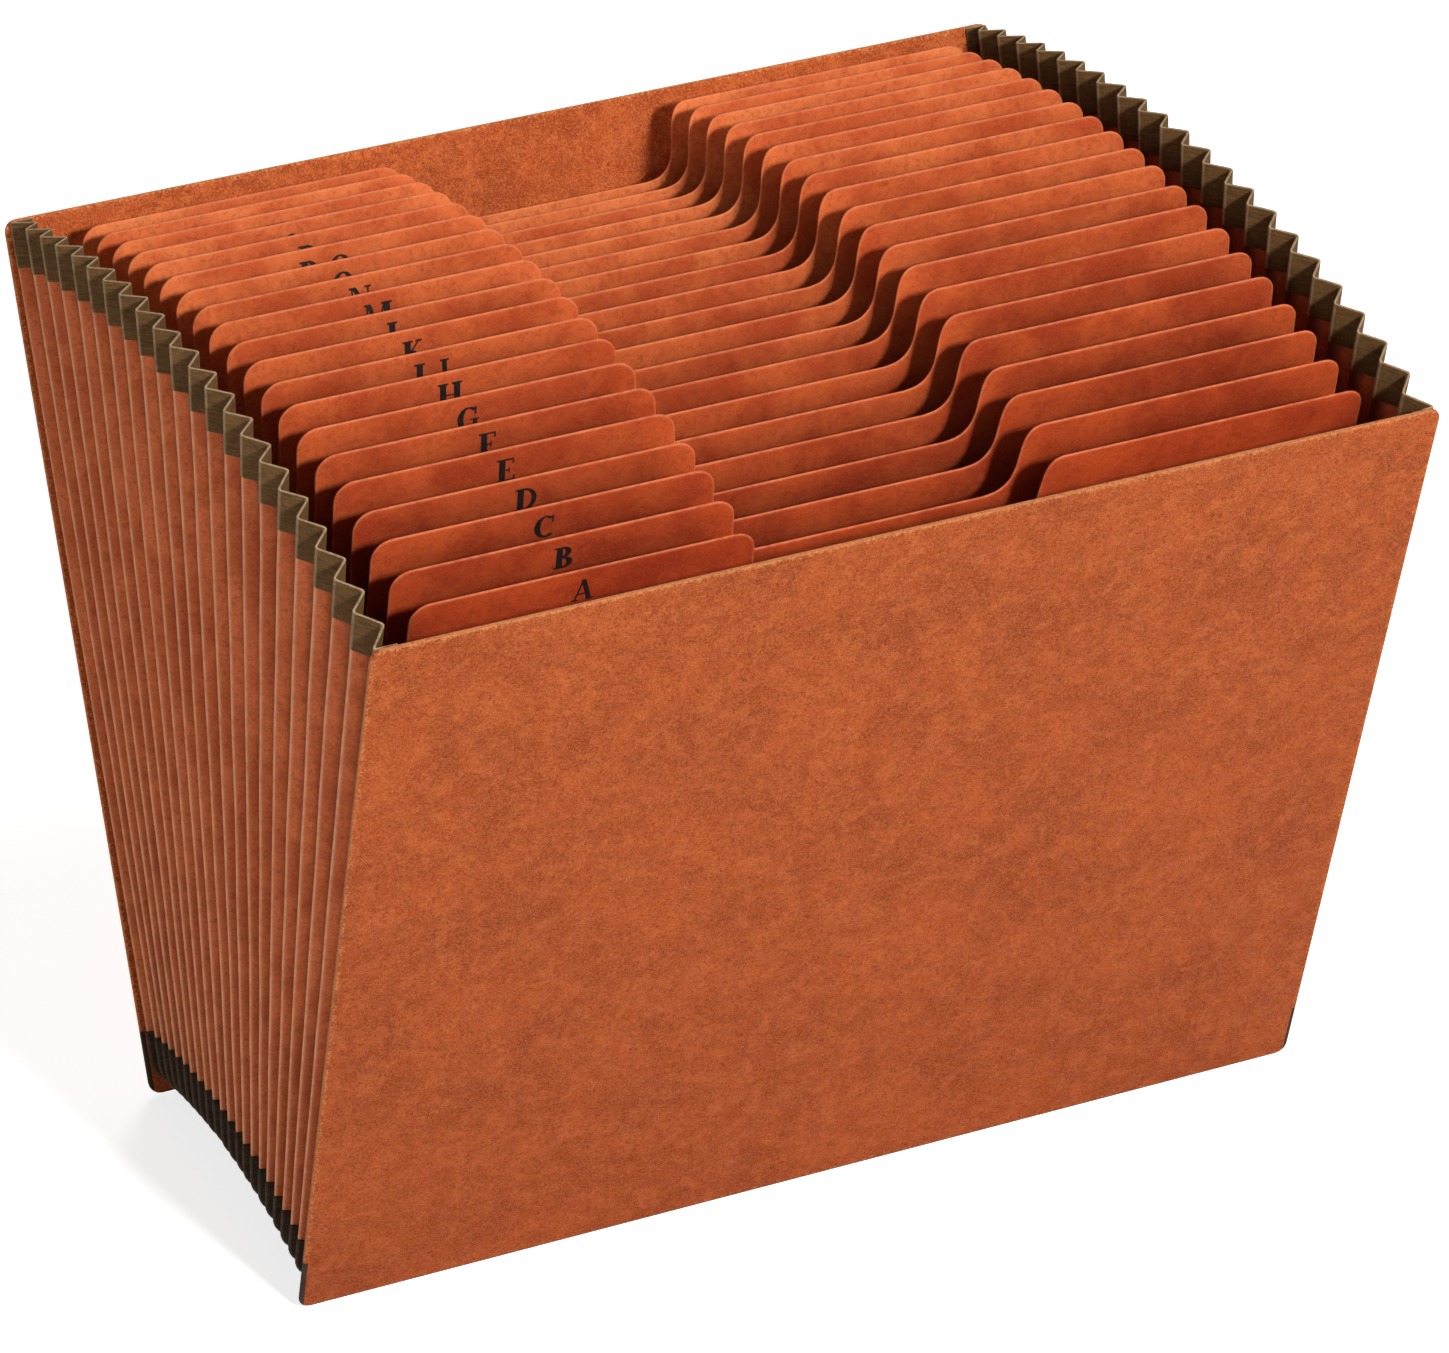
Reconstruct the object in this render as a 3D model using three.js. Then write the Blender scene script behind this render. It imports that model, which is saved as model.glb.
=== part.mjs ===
// Expanding index file, standing open like a fan.
// Two stiff covers, twenty index dividers and accordion gussets at the sides and the bottom.
// Millimetres, X to the right, Y to the back, Z up, front cover towards minus Y.

import * as THREE from 'three';

// Overall size of a cover, measured along the leaning board.
const COVER_WIDTH = 304.8;
const COVER_HEIGHT = 254;
const COVER_THICKNESS = 1.5;
const COVER_CORNER_RADIUS = 3.5;
const COVER_EDGE_ROUNDING = 0.35;

// The way the file stands: how far the foot of one cover is from the other, and the two leans.
const FOOT_SPREAD = 115;
const FRONT_LEAN_DEG = 15.6;
const BACK_LEAN_DEG = 20.4;
// How far the pleats between the covers bow up above the straight line, top and bottom.
const TOP_BOW = 20.9;
const BOTTOM_BOW = 8.4;

// Pockets, folds and the sheets that make them.
const POCKETS = 21;
const DIVIDERS = POCKETS - 1;
const GUSSET_THICKNESS = 0.6;
const DIVIDER_THICKNESS = 0.7;
const TAPE_THICKNESS = 0.4;
const SEAM_GAP = 0.3;
// Depth of a pleat from its outer fold to its inner fold.
const PLEAT_DEPTH_BOTTOM = 7.9;
const PLEAT_DEPTH_TOP = 5.9;
// Outer radius of the rounded lower corners of the pleats.
const PLEAT_CORNER_RADIUS = 10.8;
// Flats that the rounded corner is made of, an odd number so that the sheets meet on a flat.
const CORNER_STEPS = 3;

// How far the tape over the pleats stays below the top of the covers.
const TOP_GAP = 0.4;
// Cloth tape: how far it reaches down from the top and around the lower corners.
const TOP_TAPE_REACH = 13;
const CORNER_TAPE_REACH = 19;

// Outline of a divider, measured from the outer fold and down from the top of the pleats.
const TAB_LEFT_INSET = 16.8;
const TAB_RIGHT_END = 113;
const TAB_DROP = 3.5;
const TAB_CORNER_RADIUS = 7;
const STEP_DROP = 23;
const STEP_START = 186;
const STEP_END = 201;
const RAISED_DROP = 1.9;
const RAISED_RIGHT_INSET = 15.2;
const RAISED_CORNER_RADIUS = 5;
const SHOULDER_DROP = 16;

// Sheet layers, measured from the middle of the gusset sheet outwards.
const GUSSET_HALF = GUSSET_THICKNESS / 2;
const TAPE_NEAR = GUSSET_HALF + SEAM_GAP;
const TAPE_FAR = TAPE_NEAR + TAPE_THICKNESS;
// The outer folds lie this far inside the edge of the covers, so that the tape is flush with it.
const FOLD_INSET = TAPE_FAR + 0.3;
// Room between the outer face of a cover and the first fold of the pleats.
const END_ROOM = COVER_THICKNESS + SEAM_GAP + TAPE_FAR + SEAM_GAP;
const HALF_WIDTH = COVER_WIDTH / 2;

const rad = (deg) => (deg * Math.PI) / 180;

// A shallow arc in the Y Z plane from one point to another, given how far it bows up.
function makeArc(start, end, bow) {
  const chord = Math.hypot(end[0] - start[0], end[1] - start[1]);
  const radius = (chord * chord / 4 + bow * bow) / (2 * bow);
  const half = Math.asin(chord / 2 / radius);
  const along = [(end[0] - start[0]) / chord, (end[1] - start[1]) / chord];
  const up = along[0] > 0 ? [-along[1], along[0]] : [along[1], -along[0]];
  const mid = [(start[0] + end[0]) / 2, (start[1] + end[1]) / 2];
  const at = (t) => {
    const angle = (2 * t - 1) * half;
    const run = radius * Math.sin(angle);
    const rise = radius * Math.cos(angle) - (radius - bow);
    return [mid[0] + along[0] * run + up[0] * rise, mid[1] + along[1] * run + up[1] * rise];
  };
  return { at, length: 2 * half * radius };
}

// The covers stand on the rounded outer corner of their lower edge, and the middle of the
// spread at the top is at Y 0.
const lean = { front: rad(FRONT_LEAN_DEG), back: rad(BACK_LEAN_DEG) };
const reach = (angle) => (COVER_HEIGHT - COVER_EDGE_ROUNDING) * Math.sin(angle);
const middle = (reach(lean.back) - reach(lean.front)) / 2;
const backFoot = [FOOT_SPREAD / 2 - middle, -COVER_EDGE_ROUNDING * Math.sin(lean.back)];
const frontFoot = [-FOOT_SPREAD / 2 - middle, -COVER_EDGE_ROUNDING * Math.sin(lean.front)];
const backTop = [
  backFoot[0] + COVER_HEIGHT * Math.sin(lean.back),
  backFoot[1] + COVER_HEIGHT * Math.cos(lean.back),
];
const frontTop = [
  frontFoot[0] - COVER_HEIGHT * Math.sin(lean.front),
  frontFoot[1] + COVER_HEIGHT * Math.cos(lean.front),
];
const bottomArc = makeArc(backFoot, frontFoot, BOTTOM_BOW);
const topArc = makeArc(backTop, frontTop, TOP_BOW);

// Width of all the pleats together, and of one pleat, at a height along the folds.
const pleatsBottom = bottomArc.length - 2 * END_ROOM;
const pleatsTop = topArc.length - 2 * END_ROOM;
const pleatsAt = (h) => pleatsBottom + (pleatsTop - pleatsBottom) * h / COVER_HEIGHT;
const pitchAt = (h) => pleatsAt(h) / POCKETS;
const depthAt = (h) => {
  return PLEAT_DEPTH_BOTTOM + (PLEAT_DEPTH_TOP - PLEAT_DEPTH_BOTTOM) * h / COVER_HEIGHT;
};

// From a place in the fan (0 at the back fold, 1 at the front fold) and a height to Y and Z.
function fanPoint(u, h) {
  const low = bottomArc.at((END_ROOM + u * pleatsBottom) / bottomArc.length);
  const high = topArc.at((END_ROOM + u * pleatsTop) / topArc.length);
  const f = h / COVER_HEIGHT;
  return [low[0] + (high[0] - low[0]) * f, low[1] + (high[1] - low[1]) * f];
}

// A station is a place along the U of a pleat: its outer edge point and the way inwards.
function sideStation(side, h) {
  return { x: side * HALF_WIDTH, h, nx: -side, nh: 0, pitch: pitchAt(h), depth: depthAt(h) };
}

// A place on the rounded lower corner. Halfway along a flat of the corner, squash is below 1.
function cornerStation(side, turn, shift = 0, squash = 1) {
  const c = Math.cos(rad(turn)) * squash;
  const s = Math.sin(rad(turn)) * squash;
  const r = PLEAT_CORNER_RADIUS;
  const x = side * (HALF_WIDTH - r + r * c + shift * s);
  const h = r - r * s + shift * c;
  const level = r - r * s;
  return { x, h, nx: -side * c, nh: s, pitch: pitchAt(level), depth: depthAt(level) };
}

function bottomStation(x) {
  return { x, h: 0, nx: 0, nh: 1, pitch: pitchAt(0), depth: depthAt(0) };
}

// One edge of the folded sheet, offset from its middle; positive is towards the outside.
// Outer folds are flattened where the edge runs around them, so that layers keep their distance.
function foldedEdge(station, offset, endReach) {
  const { pitch, depth } = station;
  const slope = Math.hypot(depth, pitch / 2);
  const sin = (pitch / 2) / slope;
  const cos = depth / slope;
  const flat = offset * (1 - sin) / cos;
  const points = [];
  const first = [FOLD_INSET - offset * sin - endReach * cos, offset * cos - endReach * sin];
  points.push(first);
  for (let fold = 1; fold < 2 * POCKETS; fold += 1) {
    const inner = fold % 2 === 1;
    const i = FOLD_INSET + (inner ? depth : 0);
    const a = fold * pitch / 2;
    if (!inner && offset > 0) {
      points.push([i - offset, a - flat]);
      points.push([i - offset, a + flat]);
    } else {
      points.push([i - offset / sin, a]);
    }
  }
  points.push([first[0], POCKETS * pitch - first[1]]);
  return points;
}

// Closed outline of a sheet layer between two offsets.
function layerOutline(station, far, near, endReach = 0) {
  const outside = foldedEdge(station, far, endReach);
  const inside = foldedEdge(station, near, endReach);
  return outside.concat(inside.reverse());
}

function placeOutline(station, outline) {
  const whole = station.pitch * POCKETS;
  return outline.map(([i, a]) => {
    const x = station.x + station.nx * i;
    const h = station.h + station.nh * i;
    const [y, z] = fanPoint(a / whole, h);
    return [x, y, z];
  });
}

function meshFrom(name, points, faces, material) {
  let volume = 0;
  for (const [a, b, c] of faces) {
    const [ax, ay, az] = points[a];
    const [bx, by, bz] = points[b];
    const [cx, cy, cz] = points[c];
    volume += ax * (by * cz - bz * cy) - ay * (bx * cz - bz * cx) + az * (bx * cy - by * cx);
  }
  const index = [];
  for (const [a, b, c] of faces) {
    if (volume > 0) index.push(a, b, c);
    else index.push(a, c, b);
  }
  const geometry = new THREE.BufferGeometry();
  geometry.setAttribute('position', new THREE.Float32BufferAttribute(points.flat(), 3));
  geometry.setIndex(index);
  geometry.computeVertexNormals();
  const mesh = new THREE.Mesh(geometry, material);
  mesh.name = name;
  return mesh;
}

function outlineFaces(outline) {
  const flat = outline.map(([i, a]) => new THREE.Vector2(i, a));
  return THREE.ShapeUtils.triangulateShape(flat, []);
}

// Walls between two rings. Where a panel twists, every layer of it is split the same way:
// from the lower outer fold to the upper inner fold.
function joinRings(faces, from, to, count, outline = null, upwards = true) {
  for (let k = 0; k < count; k += 1) {
    const next = (k + 1) % count;
    const inwards = outline ? outline[next][0] > outline[k][0] : true;
    if (inwards === upwards) {
      faces.push([from + k, from + next, to + next]);
      faces.push([from + k, to + next, to + k]);
    } else {
      faces.push([from + k, from + next, to + k]);
      faces.push([from + next, to + next, to + k]);
    }
  }
}

// A folded sheet that runs through a row of stations.
function foldedSheet(name, stations, far, near, material) {
  const points = [];
  const faces = [];
  const outlines = stations.map((station) => layerOutline(station, far, near));
  const count = outlines[0].length;
  stations.forEach((station, k) => {
    points.push(...placeOutline(station, outlines[k]));
    if (k > 0) joinRings(faces, (k - 1) * count, k * count, count, outlines[k], false);
  });
  for (const [a, b, c] of outlineFaces(outlines[0])) faces.push([c, b, a]);
  const last = (stations.length - 1) * count;
  const lastFaces = outlineFaces(outlines[stations.length - 1]);
  for (const [a, b, c] of lastFaces) faces.push([last + a, last + b, last + c]);
  // The caps have to face the other way from the walls' point order on one hand of the file.
  return meshFrom(name, points, orientCaps(faces, count, lastFaces.length), material);
}

// Turns both caps over when they don't agree with the walls beside them.
function orientCaps(faces, count, capFaces) {
  const wallCount = faces.length - 2 * capFaces;
  const walls = new Set();
  for (let k = 0; k < wallCount; k += 1) {
    const [a, b, c] = faces[k];
    walls.add(`${a},${b}`);
    walls.add(`${b},${c}`);
    walls.add(`${c},${a}`);
  }
  const turned = faces.slice(0, wallCount);
  for (const start of [wallCount, wallCount + capFaces]) {
    const cap = faces.slice(start, start + capFaces);
    const clash = cap.some(([a, b, c]) => {
      return walls.has(`${a},${b}`) || walls.has(`${b},${c}`) || walls.has(`${c},${a}`);
    });
    for (const [a, b, c] of cap) turned.push(clash ? [a, c, b] : [a, b, c]);
  }
  return turned;
}

// Tape folded over the top edge of a gusset: outside layer, top and inside layer in one.
function topTape(name, side, material) {
  const roof = COVER_HEIGHT - TOP_GAP;
  const low = sideStation(side, roof - TOP_TAPE_REACH);
  const high = sideStation(side, roof);
  const ceiling = sideStation(side, roof - TAPE_THICKNESS);
  const shell = (station) => layerOutline(station, TAPE_FAR, -TAPE_FAR, SEAM_GAP + TAPE_THICKNESS);
  const hollow = (station) => layerOutline(station, TAPE_NEAR, -TAPE_NEAR, SEAM_GAP);
  const rings = [
    [low, hollow(low)],
    [low, shell(low)],
    [high, shell(high)],
  ];
  const points = [];
  const faces = [];
  const count = rings[0][1].length;
  // Order of the rings: hollow ceiling, hollow rim, outer rim, outer top.
  const ordered = [[ceiling, hollow(ceiling)], ...rings];
  ordered.forEach(([station, outline], k) => {
    points.push(...placeOutline(station, outline));
    if (k > 0) joinRings(faces, (k - 1) * count, k * count, count, outline, k === 3);
  });
  for (const [a, b, c] of outlineFaces(ordered[0][1])) faces.push([c, b, a]);
  const last = (ordered.length - 1) * count;
  const lastFaces = outlineFaces(ordered[ordered.length - 1][1]);
  for (const [a, b, c] of lastFaces) faces.push([last + a, last + b, last + c]);
  return meshFrom(name, points, orientCaps(faces, count, lastFaces.length), material);
}

// Quarter circle points from one angle to another around a centre.
function arcPoints(cx, ch, radius, from, to, steps) {
  const list = [];
  for (let k = 0; k <= steps; k += 1) {
    const angle = rad(from + (to - from) * k / steps);
    list.push([cx + radius * Math.cos(angle), ch + radius * Math.sin(angle)]);
  }
  return list;
}

// How far from the outer fold a divider's edge must stay to clear the fold it sits in.
function seatInset(h) {
  const slope = Math.hypot(depthAt(h), pitchAt(h) / 2);
  const sin = (pitchAt(h) / 2) / slope;
  const cos = depthAt(h) / slope;
  const clear = GUSSET_HALF + SEAM_GAP + DIVIDER_THICKNESS / 2 * cos;
  return FOLD_INSET + clear / sin;
}

// Outline of a divider as X and height points, tab on the left, raised part on the right.
function dividerOutline() {
  const left = -HALF_WIDTH;
  const top = COVER_HEIGHT;
  const seatLow = seatInset(0);
  const shoulder = top - SHOULDER_DROP;
  const seatHigh = seatInset(shoulder);
  const lowRadius = PLEAT_CORNER_RADIUS - seatLow;
  const tabTop = top - TAB_DROP;
  const stepLevel = tabTop - STEP_DROP + TAB_DROP;
  const raisedTop = top - RAISED_DROP;
  const r = TAB_CORNER_RADIUS;
  const q = RAISED_CORNER_RADIUS;
  const points = [];
  const add = (...list) => points.push(...list);
  add(...arcPoints(left + seatLow + lowRadius, seatLow + lowRadius, lowRadius, 180, 270, CORNER_STEPS));
  add(...arcPoints(-left - seatLow - lowRadius, seatLow + lowRadius, lowRadius, 270, 360, CORNER_STEPS));
  add([-left - seatHigh, shoulder - 2]);
  add([-left - seatHigh - 2, shoulder]);
  add([-left - RAISED_RIGHT_INSET, shoulder]);
  add(...arcPoints(-left - RAISED_RIGHT_INSET - q, raisedTop - q, q, 0, 90, 4));
  // Smooth step down from the raised part to the middle level.
  const steps = 8;
  for (let k = 0; k <= steps; k += 1) {
    const t = k / steps;
    const ease = t * t * (3 - 2 * t);
    const x = left + STEP_END + (STEP_START - STEP_END) * (0.35 * ease + 0.65 * t);
    add([x, raisedTop + (stepLevel - raisedTop) * ease]);
  }
  add([left + TAB_RIGHT_END, stepLevel]);
  add(...arcPoints(left + TAB_RIGHT_END - 6, tabTop - 6, 6, 0, 90, 3));
  add(...arcPoints(left + TAB_LEFT_INSET + r, tabTop - r, r, 90, 180, 4));
  add([left + TAB_LEFT_INSET, shoulder]);
  add([left + seatHigh + 2, shoulder]);
  add([left + seatHigh, shoulder - 2]);
  return points;
}

function divider(number, outline, material) {
  const u = number / POCKETS;
  const low = fanPoint(u, 0);
  const high = fanPoint(u, COVER_HEIGHT);
  const length = Math.hypot(high[0] - low[0], high[1] - low[1]);
  const across = [(high[1] - low[1]) / length, -(high[0] - low[0]) / length];
  const points = [];
  for (const offset of [-DIVIDER_THICKNESS / 2, DIVIDER_THICKNESS / 2]) {
    for (const [x, h] of outline) {
      const [y, z] = fanPoint(u, h);
      points.push([x, y + across[0] * offset, z + across[1] * offset]);
    }
  }
  const count = outline.length;
  const faces = [];
  joinRings(faces, 0, count, count);
  const cap = outlineFaces(outline);
  for (const [a, b, c] of cap) faces.push([c, b, a]);
  for (const [a, b, c] of cap) faces.push([count + a, count + b, count + c]);
  const name = `divider_${String(number).padStart(2, '0')}`;
  return meshFrom(name, points, orientCaps(faces, count, cap.length), material);
}

// A stiff board with rounded corners and softly rounded edges, leaning in its own plane.
function cover(name, foot, top, inwards, material) {
  const up = [(top[0] - foot[0]) / COVER_HEIGHT, (top[1] - foot[1]) / COVER_HEIGHT];
  const inner = inwards > 0 ? [up[1], -up[0]] : [-up[1], up[0]];
  const layers = [
    [0, COVER_EDGE_ROUNDING],
    [COVER_EDGE_ROUNDING, 0],
    [COVER_THICKNESS - COVER_EDGE_ROUNDING, 0],
    [COVER_THICKNESS, COVER_EDGE_ROUNDING],
  ];
  const corner = (inset) => {
    const r = COVER_CORNER_RADIUS - inset;
    const right = HALF_WIDTH - COVER_CORNER_RADIUS;
    const low = COVER_CORNER_RADIUS;
    const high = COVER_HEIGHT - COVER_CORNER_RADIUS;
    return [
      ...arcPoints(right, high, r, 0, 90, 4),
      ...arcPoints(-right, high, r, 90, 180, 4),
      ...arcPoints(-right, low, r, 180, 270, 4),
      ...arcPoints(right, low, r, 270, 360, 4),
    ];
  };
  const points = [];
  const faces = [];
  const count = corner(0).length;
  layers.forEach(([depth, inset], k) => {
    for (const [x, h] of corner(inset)) {
      points.push([
        x,
        foot[0] + up[0] * h + inner[0] * depth,
        foot[1] + up[1] * h + inner[1] * depth,
      ]);
    }
    if (k > 0) joinRings(faces, (k - 1) * count, k * count, count);
  });
  const cap = outlineFaces(corner(COVER_EDGE_ROUNDING));
  const last = (layers.length - 1) * count;
  for (const [a, b, c] of cap) faces.push([c, b, a]);
  for (const [a, b, c] of cap) faces.push([last + a, last + b, last + c]);
  return meshFrom(name, points, orientCaps(faces, count, cap.length), material);
}

const leatherette = (color) => {
  return new THREE.MeshStandardMaterial({ color, roughness: 0.6, metalness: 0 });
};
const paper = (color) => new THREE.MeshStandardMaterial({ color, roughness: 0.85, metalness: 0 });
const cloth = (color) => new THREE.MeshStandardMaterial({ color, roughness: 0.9, metalness: 0 });

const file = new THREE.Group();
file.name = 'expanding_index_file';

file.add(cover('back_cover', backFoot, backTop, -1, leatherette(0xa9572f)));
file.add(cover('front_cover', frontFoot, frontTop, 1, leatherette(0xb25c32)));

// Dividers are numbered from the back of the file to the front.
const outline = dividerOutline();
for (let number = 1; number <= DIVIDERS; number += 1) {
  file.add(divider(number, outline, paper(0xc96238)));
}

// Side gussets run from under the top tape to the middle of the rounded lower corner.
const roof = COVER_HEIGHT - TOP_GAP;
const gussetTop = roof - TAPE_THICKNESS - SEAM_GAP;
const turnStep = 90 / CORNER_STEPS;
const midSquash = Math.cos(rad(turnStep / 2));
for (const [side, word] of [[-1, 'left'], [1, 'right']]) {
  const stations = [
    sideStation(side, gussetTop),
    sideStation(side, roof - TOP_TAPE_REACH),
    sideStation(side, (roof - TOP_TAPE_REACH + CORNER_TAPE_REACH) / 2),
    sideStation(side, CORNER_TAPE_REACH),
    sideStation(side, PLEAT_CORNER_RADIUS),
    cornerStation(side, turnStep),
    cornerStation(side, 45, SEAM_GAP / 2, midSquash),
  ];
  file.add(foldedSheet(`${word}_gusset`, stations, GUSSET_HALF, -GUSSET_HALF, paper(0x9c4a2a)));
}

const bottomStations = [
  cornerStation(-1, 45, -SEAM_GAP / 2, midSquash),
  cornerStation(-1, 90 - turnStep),
  bottomStation(-HALF_WIDTH + PLEAT_CORNER_RADIUS),
  bottomStation(HALF_WIDTH - PLEAT_CORNER_RADIUS),
  cornerStation(1, 90 - turnStep),
  cornerStation(1, 45, -SEAM_GAP / 2, midSquash),
];
file.add(foldedSheet('bottom_gusset', bottomStations, GUSSET_HALF, -GUSSET_HALF, paper(0x8f4427)));

for (const [side, word] of [[-1, 'left'], [1, 'right']]) {
  file.add(topTape(`top_tape_${word}`, side, cloth(0x6b4a33)));
  const stations = [sideStation(side, CORNER_TAPE_REACH)];
  for (let k = 0; k <= CORNER_STEPS; k += 1) {
    stations.push(cornerStation(side, k * turnStep));
  }
  file.add(foldedSheet(`corner_tape_${word}`, stations, TAPE_FAR, TAPE_NEAR, cloth(0x33241b)));
}

export default file;
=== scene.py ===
import math

import bpy
from mathutils import Matrix, Vector, noise


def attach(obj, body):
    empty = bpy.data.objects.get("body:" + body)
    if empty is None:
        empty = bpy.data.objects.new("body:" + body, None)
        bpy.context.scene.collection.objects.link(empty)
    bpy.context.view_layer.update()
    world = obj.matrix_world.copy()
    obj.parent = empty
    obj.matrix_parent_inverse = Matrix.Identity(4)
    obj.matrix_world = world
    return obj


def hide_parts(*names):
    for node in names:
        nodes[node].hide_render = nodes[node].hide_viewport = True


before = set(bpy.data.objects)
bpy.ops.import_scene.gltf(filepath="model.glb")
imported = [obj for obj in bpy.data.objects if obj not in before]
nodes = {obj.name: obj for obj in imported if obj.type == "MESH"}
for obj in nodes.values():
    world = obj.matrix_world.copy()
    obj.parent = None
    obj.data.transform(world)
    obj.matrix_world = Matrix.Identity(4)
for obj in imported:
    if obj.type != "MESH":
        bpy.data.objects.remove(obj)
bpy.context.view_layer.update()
scene = bpy.context.scene
MM = 0.001

# The same driving sizes as the part's source, in millimetres.
COVER_WIDTH = 304.8
COVER_HEIGHT = 254.0
EDGE_ROUNDING = 0.35
FOOT_SPREAD = 115.0
FRONT_LEAN = math.radians(15.6)
BACK_LEAN = math.radians(20.4)
TOP_BOW = 20.9
BOTTOM_BOW = 8.4
POCKETS = 21
PLEAT_DEPTH_BOTTOM = 7.9
PLEAT_DEPTH_TOP = 5.9
PLEAT_CORNER_RADIUS = 10.8
TOP_GAP = 0.4
TOP_TAPE_REACH = 13.0
CORNER_TAPE_REACH = 19.0
FOLD_INSET = 1.3
END_ROOM = 3.1
HALF_WIDTH = COVER_WIDTH / 2
DIVIDER_THICKNESS = 0.7
TAB_LEFT_INSET = 16.8
TAB_RIGHT_END = 113.0
TAB_TOP = COVER_HEIGHT - 3.5
STEP_LEVEL = TAB_TOP - 19.5
RAISED_TOP = COVER_HEIGHT - 1.9
ROOF = COVER_HEIGHT - TOP_GAP

# Sizes of the folded sheets in the scene.
END_FLAP = 6.5
END_SHIFT = 1.15
FOLD_ROUND = 1.05
FOLD_SHARE = 0.3
FOLD_WEIGHTS = (0.35, 0.85, 1.0, 0.85, 0.35)
LEG_PLACES = (0.12, 0.5, 0.88)
SWAY = 0.07
OUTER_PUSH = 0.35
INNER_PUSH = 0.5
HALF_SHEET = 0.16
HALF_TAPE = 0.34
CORNER_TAPE_LIFT = 0.04
CORNER_TAPE_OUTER = 0.3
PAPER_BELOW_ROOF = 0.6

# Sizes of the index cards in the scene.
HALF_CARD = DIVIDER_THICKNESS / 2
SEAT_CLEARANCE = 0.6
SHOULDER = COVER_HEIGHT - 30.0
SHOULDER_DROP = 4
SHOULDER_RISE = 3
RAISED_END_INSET = 15.2
RAISED_CORNER = 5
TAB_CORNER = 6
TAB_FOOT_RUN = 0.6
STEP_FOOT = 186
CARD_LEAN = 0.8
CARD_TURN = 0.25
OUTLINE_SPACING = 12

# The S of the step: millimetres right of its foot, and share of its height.
STEP_CURVE = (
    (15.0, 1.0), (12.6, 0.965), (10.9, 0.87), (9.9, 0.73), (9.3, 0.55),
    (8.8, 0.38), (7.9, 0.23), (6.2, 0.11), (3.6, 0.03), (0.0, 0.0),
)
# Rings around a card's rolled edge: way in from the outline, height over the middle, closeness to the edge.
CARD_RINGS = (
    (1.3, HALF_CARD, 0.0),
    (0.6, HALF_CARD, 0.3),
    (0.2, HALF_CARD * 0.9, 0.85),
    (0.0, HALF_CARD * 0.4, 1.0),
    (0.0, -HALF_CARD * 0.4, 1.0),
    (0.2, -HALF_CARD * 0.9, 0.85),
    (0.6, -HALF_CARD, 0.3),
    (1.3, -HALF_CARD, 0.0),
)


# The fan between the two covers, as in the part's source.
def make_arc(start, end, bow):
    chord = math.hypot(end[0] - start[0], end[1] - start[1])
    radius = (chord * chord / 4 + bow * bow) / (2 * bow)
    half = math.asin(chord / 2 / radius)
    along = ((end[0] - start[0]) / chord, (end[1] - start[1]) / chord)
    up = (-along[1], along[0]) if along[0] > 0 else (along[1], -along[0])
    mid = ((start[0] + end[0]) / 2, (start[1] + end[1]) / 2)

    def at(t):
        angle = (2 * t - 1) * half
        run = radius * math.sin(angle)
        rise = radius * math.cos(angle) - (radius - bow)
        return (mid[0] + along[0] * run + up[0] * rise, mid[1] + along[1] * run + up[1] * rise)

    return at, 2 * half * radius


def lean_reach(angle):
    return (COVER_HEIGHT - EDGE_ROUNDING) * math.sin(angle)


def up_from(foot, up):
    return (foot[0] + COVER_HEIGHT * up[0], foot[1] + COVER_HEIGHT * up[1])


middle = (lean_reach(BACK_LEAN) - lean_reach(FRONT_LEAN)) / 2
back_foot = (FOOT_SPREAD / 2 - middle, -EDGE_ROUNDING * math.sin(BACK_LEAN))
front_foot = (-FOOT_SPREAD / 2 - middle, -EDGE_ROUNDING * math.sin(FRONT_LEAN))
back_up = (math.sin(BACK_LEAN), math.cos(BACK_LEAN))
front_up = (-math.sin(FRONT_LEAN), math.cos(FRONT_LEAN))
bottom_at, bottom_length = make_arc(back_foot, front_foot, BOTTOM_BOW)
top_at, top_length = make_arc(up_from(back_foot, back_up), up_from(front_foot, front_up), TOP_BOW)
pleats_bottom = bottom_length - 2 * END_ROOM
pleats_top = top_length - 2 * END_ROOM


def pitch_at(h):
    return (pleats_bottom + (pleats_top - pleats_bottom) * h / COVER_HEIGHT) / POCKETS


def depth_at(h):
    return PLEAT_DEPTH_BOTTOM + (PLEAT_DEPTH_TOP - PLEAT_DEPTH_BOTTOM) * h / COVER_HEIGHT


def fan_point(u, h):
    """Place (y, z) at share u of the way from back to front and height h up the pleats."""
    low = bottom_at((END_ROOM + u * pleats_bottom) / bottom_length)
    high = top_at((END_ROOM + u * pleats_top) / top_length)
    f = h / COVER_HEIGHT
    return (low[0] + (high[0] - low[0]) * f, low[1] + (high[1] - low[1]) * f)


# Stations along the U of a pleat: x, height, way inwards along x and up, pitch and depth.
def side_station(side, h):
    return (side * HALF_WIDTH, h, -side, 0.0, pitch_at(h), depth_at(h))


def corner_station(side, turn):
    c = math.cos(math.radians(turn))
    s = math.sin(math.radians(turn))
    r = PLEAT_CORNER_RADIUS
    level = r - r * s
    return (side * (HALF_WIDTH - r + r * c), level, -side * c, s, pitch_at(level), depth_at(level))


def bottom_station(x):
    return (x, 0.0, 0.0, 1.0, pitch_at(0), depth_at(0))


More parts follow.
